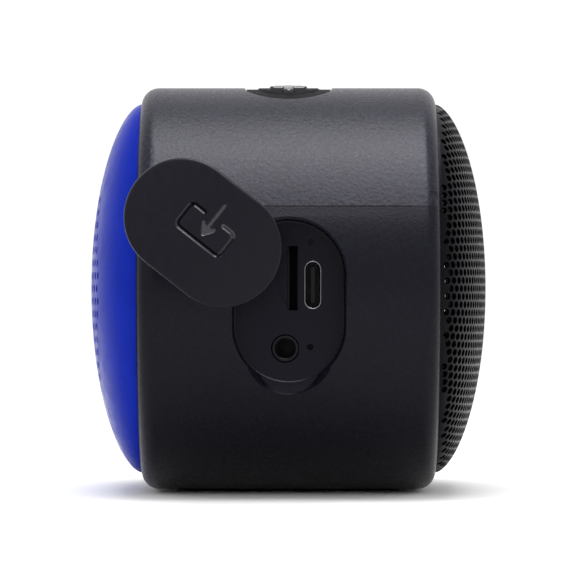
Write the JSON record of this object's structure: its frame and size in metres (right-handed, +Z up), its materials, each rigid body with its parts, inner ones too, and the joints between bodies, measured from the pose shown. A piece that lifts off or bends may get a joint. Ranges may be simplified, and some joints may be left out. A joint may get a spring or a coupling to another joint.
{
  "type": "portable speaker",
  "caption": "Stadium-section portable speaker with a domed front cover, perforated metal back, top keys and a port recess with a swivelling rubber flap.",
  "frame": {"origin": "centre of the foot pad underside, where the speaker rests", "axes": "+X towards the end with the ports, -Y towards the domed front cover, +Z up"},
  "size_m": [0.113, 0.0758, 0.0783],
  "materials": {
    "casing_plastic": "fine moulded leather grain, black",
    "cover_plastic": "satin-gloss royal blue",
    "grille_metal": "perforated sheet, semi-gloss black paint",
    "flap_rubber": "smooth matt black rubber",
    "keypad_rubber": "matt black silicone",
    "key_rubber": "satin black silicone",
    "foot_rubber": "matt black rubber",
    "cloth": "black acoustic cloth",
    "foam": "closed-cell foam",
    "inner_plastic": "moulded black ABS",
    "steel": "zinc-plated steel",
    "black_steel": "black plated steel",
    "ferrite": "sintered ferrite",
    "copper": "enamelled copper winding on a former",
    "paper_cone": "black coated pulp",
    "spider_cloth": "resin-dipped cotton",
    "surround_rubber": "soft black rubber",
    "board": "green solder mask on glass epoxy",
    "chip": "moulded epoxy",
    "port_steel": "bright nickel-plated steel",
    "port_plastic": "black nylon",
    "clear_plastic": "frosted clear acrylic",
    "cell_foil": "laminated foil pouch",
    "wire": "insulated wire"
  },
  "bodies": {
    "speaker": {"amplifier_chip": "chip", "aux_jack": "port_plastic", "battery_cell": "cell_foil", "battery_foam": "foam", "battery_leads": "wire", "board_screws": "steel", "card_socket": "port_steel", "casing_band": "casing_plastic", "driver_basket": "black_steel", "driver_gasket": "foam", "driver_magnet": "ferrite", "driver_screws": "black_steel", "driver_spider": "spider_cloth", "driver_surround": "surround_rubber", "driver_terminals": "board", "driver_top_plate": "steel", "driver_yoke": "steel", "foot_pad": "foot_rubber", "front_baffle": "inner_plastic", "front_baffle_screws": "black_steel", "front_cloth": "cloth", "front_cover": "cover_plastic", "front_gasket": "foam", "key_board": "board", "key_board_screws": "steel", "key_switches": "port_plastic", "keypad_panel": "keypad_rubber", "light_pipe": "clear_plastic", "main_board": "board", "microphone": "steel", "radiator_frame": "inner_plastic", "radiator_surround": "surround_rubber", "rear_baffle": "inner_plastic", "rear_baffle_screws": "black_steel", "rear_cloth": "cloth", "rear_gasket": "foam", "rear_grille": "grille_metal", "speaker_leads": "wire", "status_led": "clear_plastic", "usb_c_shell": "port_steel", "usb_c_tongue": "port_plastic", "wireless_module": "steel"},
    "flap_tether": {"flap_tether": "flap_rubber"},
    "port_flap": {"port_flap": "flap_rubber"},
    "cone_assembly": {"driver_cone": "paper_cone", "dust_cap": "paper_cone", "voice_coil": "copper"},
    "radiator_assembly": {"radiator_plate": "inner_plastic", "radiator_weight": "steel"},
    "key_power": {"button_power": "key_rubber", "plunger_power": "port_plastic"},
    "key_minus": {"button_minus": "key_rubber", "plunger_minus": "port_plastic"},
    "key_play": {"button_play": "key_rubber", "plunger_play": "port_plastic"},
    "key_plus": {"button_plus": "key_rubber", "plunger_plus": "port_plastic"}
  },
  "joints": [
    {"name": "flap_slide", "type": "slide", "parent": "speaker", "child": "flap_tether", "axis": [-1, 0, 0], "range_m": [0, 0.0122]},
    {"name": "flap_swivel", "type": "hinge", "parent": "flap_tether", "child": "port_flap", "pos_m": [0.0595, -0.00465, 0.0467], "axis": [1, 0, 0], "range_deg": [0, 128.3]},
    {"name": "cone_stroke", "type": "slide", "parent": "speaker", "child": "cone_assembly", "axis": [0, -1, 0], "range_m": [-0.0015, 0.0015], "stiffness_N_per_m": 1500, "deforming": ["driver_surround", "driver_spider"]},
    {"name": "radiator_stroke", "type": "slide", "parent": "speaker", "child": "radiator_assembly", "axis": [0, 1, 0], "range_m": [-0.0025, 0.0025], "stiffness_N_per_m": 800, "deforming": ["radiator_surround"]},
    {"name": "press_power", "type": "slide", "parent": "speaker", "child": "key_power", "axis": [0, 0, -1], "range_m": [0, 0.00035], "stiffness_N_per_m": 1500, "springref_m": -0.0003},
    {"name": "press_minus", "type": "slide", "parent": "speaker", "child": "key_minus", "axis": [0, 0, -1], "range_m": [0, 0.00035], "stiffness_N_per_m": 1500, "springref_m": -0.0003},
    {"name": "press_play", "type": "slide", "parent": "speaker", "child": "key_play", "axis": [0, 0, -1], "range_m": [0, 0.00035], "stiffness_N_per_m": 1500, "springref_m": -0.0003},
    {"name": "press_plus", "type": "slide", "parent": "speaker", "child": "key_plus", "axis": [0, 0, -1], "range_m": [0, 0.00035], "stiffness_N_per_m": 1500, "springref_m": -0.0003}
  ]
}
